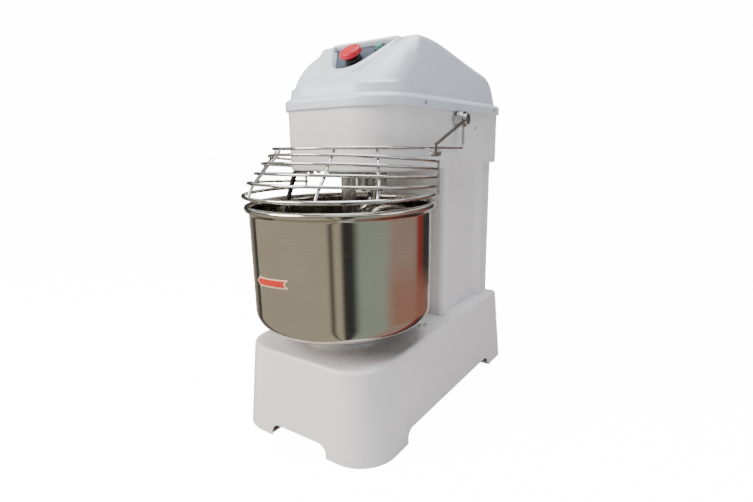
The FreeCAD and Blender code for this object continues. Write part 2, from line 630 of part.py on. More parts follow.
def hook_point(t):
    """Centre of the bar: straight down from the hub, out to the sweep, round, and in at the foot."""
    reach = HOOK_SWEEP * ease((t - 0.05) / 0.22) * (1 - 0.55 * ease((t - 0.86) / 0.14))
    turn = HOOK_START - 2 * math.pi * HOOK_TURNS * max(0.0, t - 0.06) / 0.94
    drop = HOOK_TOP_Z + (HOOK_LOW_Z - HOOK_TOP_Z) * (t + 0.06 * math.sin(math.pi * t))
    return vec(reach * math.cos(turn), HOOK_Y + reach * math.sin(turn), drop)


HOOK_STEPS = 36
hook_line = Part.BSplineCurve()
hook_line.interpolate([hook_point(n / HOOK_STEPS) for n in range(HOOK_STEPS + 1)])
hook = wire_rod([hook_line.toShape()], HOOK_ROD)
save("spiral_hook", hook.fuse(Part.makeSphere(HOOK_ROD, hook_point(1.0))))

hub = rod_z(36.0, 548.0, 589.0, 0, HOOK_Y)
hub = hub.fuse(Part.makeCone(26.0, 36.0, 12.0, vec(0, HOOK_Y, HOOK_TOP_Z)))
hub = hub.makeFillet(2.0, [e for e in hub.Edges if abs(e.CenterOfMass.z - 589.0) < 1e-3])
save("hook_hub", hub.cut(rod_z(17.5, 552.0, 600.0, 0, HOOK_Y)))
save("hook_shaft", rod_z(17.5, 552.0, 727.0, 0, HOOK_Y))
save("hook_transfer_pulley", pulley(TRANSFER_PITCH, 17.5, TRANSFER_BELT_Z, HOOK_Y))
save("hook_drive_pulley", pulley(SPIRAL_PITCH, 17.5, SPIRAL_BELT_Z, HOOK_Y, 6))

hook_housing = rod_z(64.0, PLATE_Z, PLATE_Z + 10, 0, HOOK_Y).fuse(rod_z(46.0, PLATE_Z, 662.0, 0, HOOK_Y))
hook_housing = hook_housing.cut(rod_z(36.0, PLATE_Z + 3, 670, 0, HOOK_Y))
save("hook_bearing_housing", hook_housing.cut(rod_z(30.0, 590, 620, 0, HOOK_Y)))
save("hook_bearings", bearing(36.0, 17.5, PLATE_Z + 3, 17.0, HOOK_Y),
     bearing(36.0, 17.5, 643.0, 17.0, HOOK_Y))
save("hook_oil_seal", ring_z(30.0, 17.5 + RUNNING, FLOOR_TOP, FLOOR_TOP + 8.0, 0, HOOK_Y))

# ---- countershaft -------------------------------------------------------------------------
save("countershaft", rod_z(12.5, 54.0, 692.0, 0, COUNTERSHAFT_Y))
save("countershaft_upper_pulley", pulley(COUNTER_UPPER_PITCH, 12.5, TRANSFER_BELT_Z, COUNTERSHAFT_Y, 5))
save("countershaft_lower_pulley", pulley(COUNTER_LOWER_PITCH, 12.5, BOWL_BELT_Z, COUNTERSHAFT_Y))


def flange_housing(face, direction):
    """Bolt-on housing that stands on a plate face, upwards or downwards."""
    far = face + 28.0 * direction
    edge = face + 8.0 * direction
    body = rod_z(44.0, min(face, edge), max(face, edge), 0, COUNTERSHAFT_Y)
    body = body.fuse(rod_z(33.0, min(face, far), max(face, far), 0, COUNTERSHAFT_Y))
    return body.cut(rod_z(26.0, min(face, far) - 1, max(face, far) + 1, 0, COUNTERSHAFT_Y))


save("countershaft_housings", flange_housing(PLATE_Z, 1), flange_housing(PLATE_LOW, -1))
save("countershaft_bearings", bearing(26.0, 12.5, PLATE_Z + 8, 15.0, COUNTERSHAFT_Y),
     bearing(26.0, 12.5, PLATE_LOW - 23, 15.0, COUNTERSHAFT_Y))

# ---- belts --------------------------------------------------------------------------------
save("spiral_belt", belt(SPIRAL_PITCH, HOOK_Y, MOTOR_PITCH, MOTOR_Y, SPIRAL_BELT_Z))
save("transfer_belt", belt(TRANSFER_PITCH, HOOK_Y, COUNTER_UPPER_PITCH, COUNTERSHAFT_Y, TRANSFER_BELT_Z))
save("bowl_belt", belt(BOWL_PITCH, 0.0, COUNTER_LOWER_PITCH, COUNTERSHAFT_Y, BOWL_BELT_Z))

# ---- motor --------------------------------------------------------------------------------
MOTOR_LOW, MOTOR_HIGH = 402.0, 583.5
motor = rod_z(60.0, MOTOR_LOW, MOTOR_HIGH, 0, MOTOR_Y)
motor = motor.fuse(rod_z(72.0, MOTOR_HIGH - 1, FLOOR_TOP, 0, MOTOR_Y))
fins = []
for k in range(20):
    fin = block(58.0, 66.0, -1.2, 1.2, MOTOR_LOW + 22, MOTOR_HIGH - 16)
    fin.rotate(vec(0, 0, 0), vec(0, 0, 1), 9 + 18 * k)
    fin.translate(vec(0, MOTOR_Y, 0))
    fins.append(fin)
motor = motor.fuse(fins)
motor = motor.cut(rod_z(38.0, MOTOR_LOW + 20, MOTOR_HIGH - 20, 0, MOTOR_Y))
motor = motor.cut(rod_z(9.5 + RUNNING, MOTOR_LOW - 10, 620, 0, MOTOR_Y))
for bx, by in MOTOR_BOLTS:
    motor = motor.cut(rod_z(4.0, 570, 620, bx, by))
save("motor_body", motor.fuse(block(58, 94, MOTOR_Y - 30, MOTOR_Y + 30, 450, 520)).removeSplitter())
cowl = rod_z(62.0, 344.0, MOTOR_LOW, 0, MOTOR_Y).cut(rod_z(60.0, 346.0, MOTOR_LOW + 1, 0, MOTOR_Y))
for k in range(12):
    a = math.radians(30 * k)
    for ring_radius in (24.0, 42.0):
        cowl = cowl.cut(rod_z(4.0, 340, 348, ring_radius * math.cos(a), MOTOR_Y + ring_radius * math.sin(a)))
save("motor_fan_cowl", cowl)
mounting_bolts = [hex_bolt(13.0, 5.5, 4.0, 24.0, vec(x, y, PLATE_Z), vec(0, 0, 1)) for x, y in MOTOR_BOLTS]
rotor_core = rod_z(36.0, MOTOR_LOW + 28, MOTOR_HIGH - 28, 0, MOTOR_Y)
save("motor_rotor", rotor_core.fuse(rod_z(9.5, 352.0, 718.0, 0, MOTOR_Y)))
save("motor_pulley", pulley(MOTOR_PITCH, 9.5, SPIRAL_BELT_Z, MOTOR_Y))
fan = ring_z(18.0, 9.5, 358.0, 384.0, 0, MOTOR_Y)
for k in range(8):
    blade = block(16.0, 52.0, -1.0, 1.0, 360.0, 382.0)
    blade.rotate(vec(0, 0, 0), vec(0, 0, 1), 45 * k)
    blade.translate(vec(0, MOTOR_Y, 0))
    fan = fan.fuse(blade)
save("motor_fan", fan)

# ---- breaker bar and scraper bar ----------------------------------------------------------
BREAKER_RADIUS = 17.0
BREAKER_LOW = 276.0
breaker = rod_z(BREAKER_RADIUS, BREAKER_LOW, HEAD_Z - 8, 0, BREAKER_Y)
breaker = breaker.makeFillet(8.0, [e for e in breaker.Edges if abs(e.CenterOfMass.z - BREAKER_LOW) < 1e-3])
save("breaker_bar", breaker)
mount = block(-35, 35, BREAKER_Y - 35, BREAKER_Y + 35, HEAD_Z - 8, HEAD_Z)
mount = mount.makeFillet(8.0, [e for e in mount.Edges if e.BoundBox.ZLength > 7])
for bx, by in BREAKER_BOLTS:
    mount = mount.cut(rod_z(4.0, 570, 600, bx, by))
save("breaker_bar_mount", mount)

scraper_pad = block(-140, -106, -4, 70, HEAD_Z - 6, HEAD_Z)
for bx, by in SCRAPER_BOLTS:
    scraper_pad = scraper_pad.cut(rod_z(4.0, 570, 600, bx, by))
SCRAPER_ROUTE = [vec(SCRAPER_TOP[0], SCRAPER_TOP[1], HEAD_Z - 6), vec(-148, -4, 553), vec(-159, -8, 518),
                 vec(-168, -24, 464), vec(-170, -28, 392)]
save("scraper_bar", scraper_pad.fuse(wire_rod(bent_path(SCRAPER_ROUTE, 40.0), 6.0)))
for bolts, shank, face in ((BREAKER_BOLTS, 20.0, HEAD_Z - 8), (SCRAPER_BOLTS, 18.0, HEAD_Z - 6)):
    mounting_bolts += [hex_bolt(11.0, 5.0, 4.0, shank, vec(x, y, face), vec(0, 0, -1)) for x, y in bolts]
save("mounting_bolts", *mounting_bolts)


# ---- guard --------------------------------------------------------------------------------
def ring_arc(front_reach, front_z, end_z):
    x, y = GUARD_END
    return Part.Arc(vec(-x, y, end_z), vec(0, -front_reach, front_z), vec(x, y, end_z))


def at_angle(arc, degrees):
    """The point of a ring arc that lies at an angle about the bowl's axis, in plan."""
    best = None
    for n in range(721):
        p = arc.value(arc.FirstParameter + (arc.LastParameter - arc.FirstParameter) * n / 720.0)
        gap = abs(math.degrees(math.atan2(p.y, p.x)) - degrees)
        if best is None or gap < best[0]:
            best = (gap, p)
    return best[1]


ring_arcs = [ring_arc(*size) for size in GUARD_RINGS]
save("guard_rim_ring", wire_rod([ring_arcs[0].toShape()], RIM_WIRE))
save("guard_rings", *[wire_rod([arc.toShape()], WIRE) for arc in ring_arcs[1:]])

LEG_X, LEG_Y, top_z, leg_z = TOP_RING
LEG_BEND = 9.0
top_arc = Part.Arc(vec(-LEG_X, LEG_Y, leg_z), vec(0, LEG_Y - LEG_X, top_z), vec(LEG_X, LEG_Y, leg_z))
leg_end_z = leg_z - (PIVOT_Y - LEG_Y) * (top_z - leg_z) / LEG_X
LEG_TOP_Z = PIVOT_Z - 18.0
leg_points = [vec(LEG_X, LEG_Y, leg_z), vec(LEG_X, PIVOT_Y, leg_end_z), vec(LEG_X, PIVOT_Y, LEG_TOP_Z)]
left_points = [vec(-p.x, p.y, p.z) for p in leg_points[::-1]]
top_edges = bent_path(left_points, LEG_BEND) + [top_arc.toShape()] + bent_path(leg_points, LEG_BEND)
save("guard_top_ring", wire_rod(top_edges, WIRE))

WELD = 0.8


def rib(foot, top):
    """One upright bar along the inside of the rings, from the rim ring to the top ring."""
    points = []
    rings = list(zip(ring_arcs + [top_arc], [RIM_WIRE] + [WIRE] * 5))
    for k, (arc, radius) in enumerate(rings):
        p = at_angle(arc, foot + (top - foot) * k / (len(rings) - 1))
        back = vec(p.x, p.y, 0).normalize() * -0.75 + vec(0, 0, -0.66)
        points.append(p + back * (radius + WIRE - WELD))
    curve = Part.BSplineCurve()
    curve.interpolate(points)
    return wire_rod([curve.toShape()], WIRE)


save("guard_ribs", *[rib(foot, top) for foot, top in RIB_TURNS])

HUB_X = (161.5, 184.0)
ARM_X = (HUB_X[1], HUB_X[1] + 4.0)
END_TOP = vec(187.0, 106.0, 647.0)
END_BAR_LOW = vec(GUARD_END[0] + 5.0, GUARD_END[1] - 2.0, 537.0)
END_BAR_TOP = vec(GUARD_END[0] + 4.0, GUARD_END[1] + 1.0, 612.0)
save("guard_end_bars", *both_sides(wire_rod([Part.makeLine(END_BAR_LOW, END_BAR_TOP)], WIRE)))

ARM_HALF = 4.0
CLAMP_BOLTS_Y = (88.0, 114.0)
CLAMP_BOLTS_Z = 626.0
arm_run = vec(0, END_TOP.y - PIVOT_Y, END_TOP.z - PIVOT_Z)
arm = block(ARM_X[0], ARM_X[1], 0, arm_run.Length, -ARM_HALF, ARM_HALF)
arm.rotate(vec(0, 0, 0), vec(1, 0, 0), math.degrees(math.atan2(arm_run.z, arm_run.y)))
arm.translate(vec(0, PIVOT_Y, PIVOT_Z))
arm = arm.fuse(rod_x(14.0, ARM_X[0], ARM_X[1], PIVOT_Y, PIVOT_Z))
tab = block(ARM_X[0], ARM_X[1], 81.0, 121.0, 619.5, 632.5)
tab = tab.makeFillet(5.0, [e for e in tab.Edges if e.BoundBox.XLength > 3])
neck = block(ARM_X[0], ARM_X[1], 95.0, 107.0, 628.0, 649.0)
arm = fuse_all([arm, tab, neck]).cut(rod_x(8.0, 150, 200, PIVOT_Y, PIVOT_Z))
for clamp_y in CLAMP_BOLTS_Y:
    arm = arm.cut(rod_x(3.0, 150, 200, clamp_y, CLAMP_BOLTS_Z))
save("guard_arms", *both_sides(arm))

pivot_hub = rod_x(18.5, HUB_X[0], HUB_X[1], PIVOT_Y, PIVOT_Z)
pivot_hub = pivot_hub.makeFillet(2.0, [e for e in pivot_hub.Edges if abs(e.CenterOfMass.x - HUB_X[0]) < 1e-3])
pivot_hub = pivot_hub.cut(rod_z(WIRE, 660.0, LEG_TOP_Z, LEG_X, PIVOT_Y))
stub = rod_x(8.0, 142.0, ARM_X[1], PIVOT_Y, PIVOT_Z)
stub = stub.fuse(rod_x(13.0, ARM_X[1], ARM_X[1] + 5, PIVOT_Y, PIVOT_Z))
save("guard_hubs", *both_sides(pivot_hub.fuse(stub).fuse(rod_x(15.0, 142.0, 149.5, PIVOT_Y, PIVOT_Z))))
bush = rod_x(13.0, 150.0, HEAD[0], PIVOT_Y, PIVOT_Z)
bush = bush.fuse(rod_x(18.0, 154.0, HEAD[0] - HEAD_SKIN, PIVOT_Y, PIVOT_Z))
save("guard_pivot_bushes", *both_sides(bush.cut(rod_x(8.0 + RUNNING, 130, 200, PIVOT_Y, PIVOT_Z))))
clamp_bolts = []
for y in CLAMP_BOLTS_Y:
    clamp_bolts += both_sides(hex_bolt(10.0, 4.0, 3.0, 4.0, vec(ARM_X[1], y, CLAMP_BOLTS_Z), vec(1, 0, 0)))
save("guard_clamp_bolts", *clamp_bolts)

SWITCH_TOP = 672.0
switch_box = block(112, 136, PIVOT_Y - 14, PIVOT_Y + 14, PLATE_Z, SWITCH_TOP)
lever = block(130, 148, PIVOT_Y - 4, PIVOT_Y + 4, SWITCH_TOP - 2, SWITCH_TOP + 3)
roller_arm = block(143.5, 146.5, PIVOT_Y - 2.5, PIVOT_Y + 2.5, SWITCH_TOP + 1, SWITCH_TOP + 9)
roller = rod_x(5.0, 142, 148, PIVOT_Y, SWITCH_TOP + 9)
save("guard_limit_switch", fuse_all([switch_box, lever, roller_arm, roller]))
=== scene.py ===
import math

import bmesh
import bpy
import numpy as np
from mathutils import Matrix, Vector


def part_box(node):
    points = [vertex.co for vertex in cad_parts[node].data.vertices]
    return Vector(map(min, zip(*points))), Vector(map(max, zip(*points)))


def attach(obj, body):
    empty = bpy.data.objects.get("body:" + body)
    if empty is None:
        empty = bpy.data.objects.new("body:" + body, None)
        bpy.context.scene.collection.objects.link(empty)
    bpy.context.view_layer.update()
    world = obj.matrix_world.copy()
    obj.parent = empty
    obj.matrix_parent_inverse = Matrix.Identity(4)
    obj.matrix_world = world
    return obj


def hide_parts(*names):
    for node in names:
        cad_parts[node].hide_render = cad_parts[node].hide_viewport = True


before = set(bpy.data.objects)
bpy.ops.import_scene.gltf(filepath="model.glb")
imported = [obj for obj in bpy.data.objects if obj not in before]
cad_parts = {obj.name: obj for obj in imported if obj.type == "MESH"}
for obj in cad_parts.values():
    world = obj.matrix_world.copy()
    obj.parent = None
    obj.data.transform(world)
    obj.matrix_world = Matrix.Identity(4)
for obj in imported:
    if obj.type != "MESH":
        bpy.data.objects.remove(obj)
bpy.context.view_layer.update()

MM = 0.001
IMAGE_SIZE = (753, 502)

# ---- places taken from the frame, in millimetres, with Y measured from the bowl's axis ----------
bowl_low, bowl_high = (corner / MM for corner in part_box("bowl"))
cover_low, cover_high = (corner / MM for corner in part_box("top_cover"))
AXIS_Y = (bowl_low.y + bowl_high.y) / 2
COVER_FRONT = cover_low.y - AXIS_Y
COVER_REAR = cover_high.y - AXIS_Y
COVER_HALF = cover_high.x
FLANGE_LOW = cover_low.z
RIDGE_TOP = cover_high.z


def place(x, y, z):
    """A point given in millimetres from the bowl's axis, in the row frame in metres."""
    return Vector((x, y + AXIS_Y, z)) * MM


# ---- node trees ---------------------------------------------------------------------------------
class Tree:
    """Short calls for building a node tree."""

    def __init__(self, tree):
        self.tree = tree
        tree.nodes.clear()

    def add(self, kind, inputs=(), **settings):
        node = self.tree.nodes.new("ShaderNode" + kind)
        for name, value in settings.items():
            setattr(node, name, value)
        for name, value in dict(inputs).items():
            socket = node.inputs[name]
            if isinstance(value, bpy.types.NodeSocket):
                self.tree.links.new(value, socket)
            else:
                socket.default_value = value
        return node

    def math(self, operation, a, b=0.0):
        node = self.add("Math", operation=operation)
        for socket, value in zip(node.inputs, (a, b)):
            if isinstance(value, bpy.types.NodeSocket):
                self.tree.links.new(value, socket)
            else:
                socket.default_value = value
        return node.outputs[0]

    def noise(self, vector, scale, detail=3.0, stretch=(1, 1, 1)):
        """Noise over the object's own coordinates, stretched by the given factors."""
        mapped = self.add("Mapping", {"Vector": vector, "Scale": stretch}).outputs[0]
        node = self.add("TexNoise", {"Vector": mapped, "Scale": scale, "Detail": detail})
        return node.outputs[0]

    def ramp(self, factor, stops, mode="LINEAR"):
        node = self.add("ValToRGB", {"Fac": factor})
        node.color_ramp.interpolation = mode
        elements = node.color_ramp.elements
        while len(elements) > 1:
            elements.remove(elements[-1])
        elements[0].position = stops[0][0]
        elements[0].color = (*stops[0][1], 1)
        for position, colour in stops[1:]:
            elements.new(position).color = (*colour, 1)
        return node.outputs[0]

    def spread(self, factor, low, high):
        """A 0 to 1 factor as a value between low and high."""
        inputs = {"Value": factor, "From Min": 0.3, "From Max": 0.7, "To Min": low, "To Max": high}
        return self.add("MapRange", inputs).outputs[0]


def shade(colour, factor):
    return tuple(min(1.0, c * factor) for c in colour)


def finish(name, colour, roughness, metallic=0.0, mottle=0.04, mottle_scale=7.0, uneven=0.04,
           bump=0.03, bump_scale=500.0, grain=(1, 1, 1), grain_scale=9.0, grain_depth=0.0,
           anisotropic=0.0, coat=0.0, coat_roughness=0.1, specular=0.5, crease_shade=None):
    """One surface: mottled colour, uneven gloss, a fine bump, a stretched grain if it has one, and painted
    shade in concave creases if a shade colour is given.
    """
    material = bpy.data.materials.new(name)
    material.use_nodes = True
    t = Tree(material.node_tree)
    where = t.add("TexCoord").outputs["Object"]
    shader = t.add("BsdfPrincipled", {"Metallic": metallic, "Specular IOR Level": specular,
                                      "Coat Weight": coat, "Coat Roughness": coat_roughness})
    cloud = t.noise(where, mottle_scale, 5.0)
    tint = t.ramp(cloud, [(0.3, shade(colour, 1 - mottle)), (0.7, shade(colour, 1 + mottle))])
    height = t.noise(where, bump_scale, 2.0)
    gloss = cloud
    if grain_depth:
        lines = t.noise(where, grain_scale, 4.0, grain)
        streaks = t.ramp(lines, [(0.3, (1 - grain_depth,) * 3), (0.7, (1.0, 1.0, 1.0))])
        mixed = t.add("Mix", data_type="RGBA", blend_type="MULTIPLY")
        mixed.inputs[0].default_value = 1.0
        t.tree.links.new(tint, mixed.inputs[6])
        t.tree.links.new(streaks, mixed.inputs[7])
        tint, gloss, height = mixed.outputs[2], lines, lines
    # painted shade: where the surface folds inwards (low pointiness) the colour is darkened to the given
    # shade colour
    if crease_shade:
        edge = t.add("NewGeometry").outputs["Pointiness"]
        uncreased = t.add("MapRange", {"Value": edge, "From Min": 0.44, "From Max": 0.5})
        mixed = t.add("Mix", data_type="RGBA")
        mixed.inputs[6].default_value = (*crease_shade, 1)
        t.tree.links.new(uncreased.outputs[0], mixed.inputs[0])
        t.tree.links.new(tint, mixed.inputs[7])
        tint = mixed.outputs[2]
    t.tree.links.new(tint, shader.inputs["Base Color"])
    rough = t.spread(gloss, max(0.02, roughness - uneven), roughness + uneven)
    t.tree.links.new(rough, shader.inputs["Roughness"])
    bumped = t.add("Bump", {"Height": height, "Strength": bump, "Distance": 0.0005})
    t.tree.links.new(bumped.outputs[0], shader.inputs["Normal"])
    if anisotropic:
        shader.inputs["Anisotropic"].default_value = anisotropic
        shader.inputs["Anisotropic Rotation"].default_value = 0.25
        tangent = t.add("Tangent", direction_type="RADIAL", axis="Z")
        t.tree.links.new(tangent.outputs[0], shader.inputs["Tangent"])
    output = t.add("OutputMaterial")
    t.tree.links.new(shader.outputs[0], output.inputs[0])
    return material


# ---- materials ----------------------------------------------------------------------------------
ROUND_Z = (2, 2, 90)          # grain that runs round the Z axis
ALONG_Z = (60, 60, 1.5)       # grain that runs up and down

LOOKS = {
    # the white enamel gets painted shade that darkens its concave creases and seams
    "enamel": finish("white_enamel", (0.80, 0.76, 0.755), 0.34, mottle=0.02, bump=0.05,
                     bump_scale=260, coat=0.35, coat_roughness=0.16, crease_shade=(0.62, 0.60, 0.58)),
    "cover": finish("cover_plastic", (0.66, 0.70, 0.76), 0.34, mottle=0.015, bump=0.03,
                    bump_scale=180, coat=0.4, coat_roughness=0.24),
    "plate": finish("mill_plate", (0.46, 0.46, 0.47), 0.42, 1.0, grain=(60, 2, 2), grain_depth=0.2),
    "zinc": finish("zinc_screw", (0.62, 0.61, 0.58), 0.32, 1.0, mottle=0.12, mottle_scale=300),
    "black": finish("black_plastic", (0.022, 0.022, 0.024), 0.42, bump=0.15, bump_scale=1500),
    "slate": finish("panel_slate", (0.035, 0.052, 0.072), 0.6, mottle=0.12, mottle_scale=90, bump=0.3,
                    bump_scale=1800),
    "red": finish("stop_red", (0.50, 0.008, 0.022), 0.36, mottle=0.05, coat=0.1, specular=0.3),
    "green": finish("start_green", (0.10, 0.27, 0.21), 0.4, mottle=0.05, coat=0.1),
    "bowl": finish("bowl_steel", (0.66, 0.63, 0.56), 0.11, 1.0, mottle=0.05, grain=ROUND_Z,
                   grain_depth=0.08, uneven=0.03, bump=0.02, anisotropic=0.3),
    "tool": finish("tool_steel", (0.42, 0.40, 0.37), 0.24, 1.0, mottle=0.08, mottle_scale=25,
                   grain=ALONG_Z, grain_depth=0.12),
    "turned": finish("turned_steel", (0.56, 0.56, 0.56), 0.25, 1.0, grain=ROUND_Z, grain_depth=0.15),
    "ground": finish("bearing_steel", (0.62, 0.62, 0.63), 0.16, 1.0, grain=ROUND_Z, grain_depth=0.08),
    "iron": finish("cast_iron", (0.16, 0.16, 0.165), 0.6, 0.6, mottle=0.2, mottle_scale=60, bump=0.6,
                   bump_scale=350),
    "rubber": finish("belt_rubber", (0.018, 0.018, 0.018), 0.7, mottle=0.2, mottle_scale=80, bump=0.4,
                     bump_scale=900),
    "motor": finish("motor_grey", (0.26, 0.29, 0.32), 0.45, 0.3, mottle=0.08, bump=0.3, bump_scale=400),
    "chrome": finish("guard_chrome", (0.60, 0.59, 0.565), 0.13, 1.0, mottle=0.12, mottle_scale=45,
                     uneven=0.06, bump=0.06, bump_scale=700),
    "bronze": finish("bronze_bush", (0.60, 0.40, 0.18), 0.3, 1.0, grain=ROUND_Z, grain_depth=0.12),
    "arrow_red": finish("arrow_red", (0.47, 0.022, 0.010), 0.45, mottle=0.12, mottle_scale=140,
                        specular=0.25),
    "arrow_cream": finish("arrow_cream", (0.60, 0.44, 0.28), 0.45, mottle=0.08, mottle_scale=120,
                          specular=0.25),
    "white_iron": finish("painted_flange", (0.78, 0.77, 0.76), 0.36, mottle=0.03, bump=0.15,
                         bump_scale=300, coat=0.2),
}

NODE_LOOKS = {
    "enamel": ["base_shell", "column_shell", "head_casing", "rear_cover"],
    "cover": ["top_cover"],
    "plate": ["base_plate", "foot_plates", "head_plate", "breaker_bar_mount"],
    "zinc": ["casing_screws", "mounting_bolts", "bearing_flange_bolts", "guard_clamp_bolts"],
    "black": ["cable_gland", "estop_switch", "start_switch", "guard_limit_switch", "motor_fan",
              "motor_fan_cowl", "scraper_bar"],
    "slate": ["control_panel"],
    "red": ["estop_button"],
    "green": ["start_button"],
    "bowl": ["bowl"],
    "tool": ["spiral_hook", "hook_hub", "breaker_bar"],
    "turned": ["bowl_shaft", "hook_shaft", "countershaft", "motor_rotor"],
    "ground": ["bowl_bearings", "hook_bearings", "countershaft_bearings"],
    "iron": ["bowl_turntable", "bowl_pulley", "hook_transfer_pulley", "hook_drive_pulley",
             "hook_bearing_housing", "countershaft_upper_pulley", "countershaft_lower_pulley",
             "countershaft_housings", "motor_pulley"],
    "rubber": ["spiral_belt", "transfer_belt", "bowl_belt", "hook_oil_seal"],
    "motor": ["motor_body"],
    "chrome": ["guard_rim_ring", "guard_rings", "guard_top_ring", "guard_ribs", "guard_end_bars",
               "guard_arms", "guard_hubs"],
    "bronze": ["guard_pivot_bushes"],
    "arrow_red": ["direction_arrow"],
    "white_iron": ["bowl_bearing_housing"],
}
for look, names in NODE_LOOKS.items():
    for name in names:
        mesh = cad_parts[name].data
        mesh.materials.clear()
        mesh.materials.append(LOOKS[look])


# ---- mesh helpers -------------------------------------------------------------------------------
def make_piece(name, points, faces, look, body, slot, *nodes, smooth=True):
    """A new mesh piece that rides on a body and stands for the named CAD nodes."""
    mesh = bpy.data.meshes.new(name)
    mesh.from_pydata([tuple(p) for p in points], [], faces)
    mesh.validate()
    mesh.update()
    mesh.shade_smooth() if smooth else mesh.shade_flat()
    mesh.materials.append(LOOKS[look])
    piece = bpy.data.objects.new(name, mesh)
    bpy.context.scene.collection.objects.link(piece)
    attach(piece, body)
    if nodes:
        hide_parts(*nodes)
    return piece


def grid_faces(rows, columns, closed_columns=True):
    """Quads over a grid of points held row by row; a closed grid joins its last column to its first."""
    last = columns if closed_columns else columns - 1
    return [(r * columns + c, r * columns + (c + 1) % columns,
             (r + 1) * columns + (c + 1) % columns, (r + 1) * columns + c)
            for r in range(rows - 1) for c in range(last)]


def step(low, high, value):
    t = np.clip((value - low) / (high - low), 0, 1)
    return t * t * (3 - 2 * t)


def round_max(a, b, r):
    """Where two solids meet in an outer edge, that edge with radius r."""
    return np.minimum(np.maximum(a, b), -r) + np.hypot(np.maximum(a + r, 0), np.maximum(b + r, 0))


def blend_max(a, b, width):
    """The same for two faces that meet at a shallow angle, blended over the given difference."""
    near = np.maximum(width - np.abs(a - b), 0) / width
    return np.maximum(a, b) + near * near * width / 4


def round_min(a, b, r):
    """Where two solids join in an inner corner, that corner with radius r."""
    return np.maximum(np.minimum(a, b), r) - np.hypot(np.maximum(r - a, 0), np.maximum(r - b, 0))


def plan_distance(x, y, half, front, rear, front_corner, rear_corner):
    """Distance in plan to a rounded rectangle whose front and rear corners differ; negative inside."""
    middle = (front + rear) / 2
    r = np.where(y < middle, front_corner, rear_corner)
    qx = np.abs(x) - half + r
    qy = np.abs(y - middle) - (rear - front) / 2 + r
    outside = np.hypot(np.maximum(qx, 0), np.maximum(qy, 0))
    return np.minimum(np.maximum(qx, qy), 0) + outside - r


# ---- top cover ----------------------------------------------------------------------------------
FLANGE_TOP = FLANGE_LOW + 25
FLANGE_CORNERS = (105.0, 20.0)
WALL_INSET = 9.5              # from the flange's edge in to the cover's wall
WALL_TAPER = 0.143
LEDGE_Z = FLANGE_TOP + 23
SLOPE_START = (COVER_FRONT + 20.4, FLANGE_TOP + 16)
RIDGE = (COVER_FRONT + 170.4, RIDGE_TOP + 1.5)
ROOF_START = (COVER_FRONT + 250, RIDGE_TOP - 2)
ROOF_FALL = 0.165
ARC_SAMPLES = 900             # points searched along each arc from the flange's foot to the top
FAR_OUT = 700.0               # a reach that is outside the cover in every direction
SLOPE = math.atan2(RIDGE[1] - SLOPE_START[1], RIDGE[0] - SLOPE_START[0])


def slope_distance(y, z):
    return (z - SLOPE_START[1]) * math.cos(SLOPE) - (y - SLOPE_START[0]) * math.sin(SLOPE)


def shoulder(x, y, z):
    """How far the slope swells out on either side of the pocket."""
    v = (y - SLOPE_START[0]) * math.cos(SLOPE) + (z - SLOPE_START[1]) * math.sin(SLOPE)
    return 8.0 * np.sin(math.pi * np.clip(v / 175, 0, 1)) * step(62, 118, np.abs(x))


def cover_field(x, y, z):
    """Distance to the cover's outer face: flange, skirt with its ledge, front slope, roof and walls."""
    rise = np.maximum(z - FLANGE_TOP, 0) * WALL_TAPER
    wall = plan_distance(x, y, COVER_HALF - WALL_INSET - rise, COVER_FRONT + WALL_INSET + 1 + rise,
                         COVER_REAR - WALL_INSET - rise * 0.8, 101.0 - rise, 26.0 + rise)
    fall = (z - ROOF_START[1] + ROOF_FALL * (y - ROOF_START[0])) / math.hypot(1, ROOF_FALL)
    roof = blend_max(z - RIDGE_TOP, fall, 6.0)
    roof = round_max(roof, y - COVER_REAR + WALL_INSET + 1, 66.0)
    roof = blend_max(slope_distance(y, z) - shoulder(x, y, z), roof, 5.0)
    edge = 40 - 29 * step(84, 124, y) + 10 * step(200, 420, y)
    body = round_max(roof, wall, edge)
    skirt = round_max(wall, z - LEDGE_Z, 4.0) + 12 * step(10, 70, y)
    flange = plan_distance(x, y, COVER_HALF, COVER_FRONT, COVER_REAR, *FLANGE_CORNERS)
    flange = round_max(flange, z - FLANGE_TOP, 10.0)
    return round_min(round_min(body, skirt, 5.0), flange, 4.0)


def cover_outline():
    """Points round the flange in plan, closer together where the cover bends."""
    r, q = FLANGE_CORNERS
    fx, rx = COVER_HALF - r, COVER_HALF - q
    fy, ry = COVER_FRONT + r, COVER_REAR - q
    right = [(fx * t, COVER_FRONT) for t in np.linspace(0, 1, 13)[:-1]]
    right += [(fx + r * math.sin(a), fy - r * math.cos(a)) for a in np.linspace(0, math.pi / 2, 33)[:-1]]
    right += [(COVER_HALF, y) for y in np.linspace(fy, 160, 54)[:-1]]
    right += [(COVER_HALF, y) for y in np.linspace(160, ry, 40)[:-1]]
    right += [(rx + q * math.cos(a), ry + q * math.sin(a)) for a in np.linspace(0, math.pi / 2, 13)[:-1]]
    right += [(rx * t, COVER_REAR) for t in np.linspace(1, 0, 17)]
    left = [(-x, y) for x, y in right[-2:0:-1]]
    return np.array(right + left)


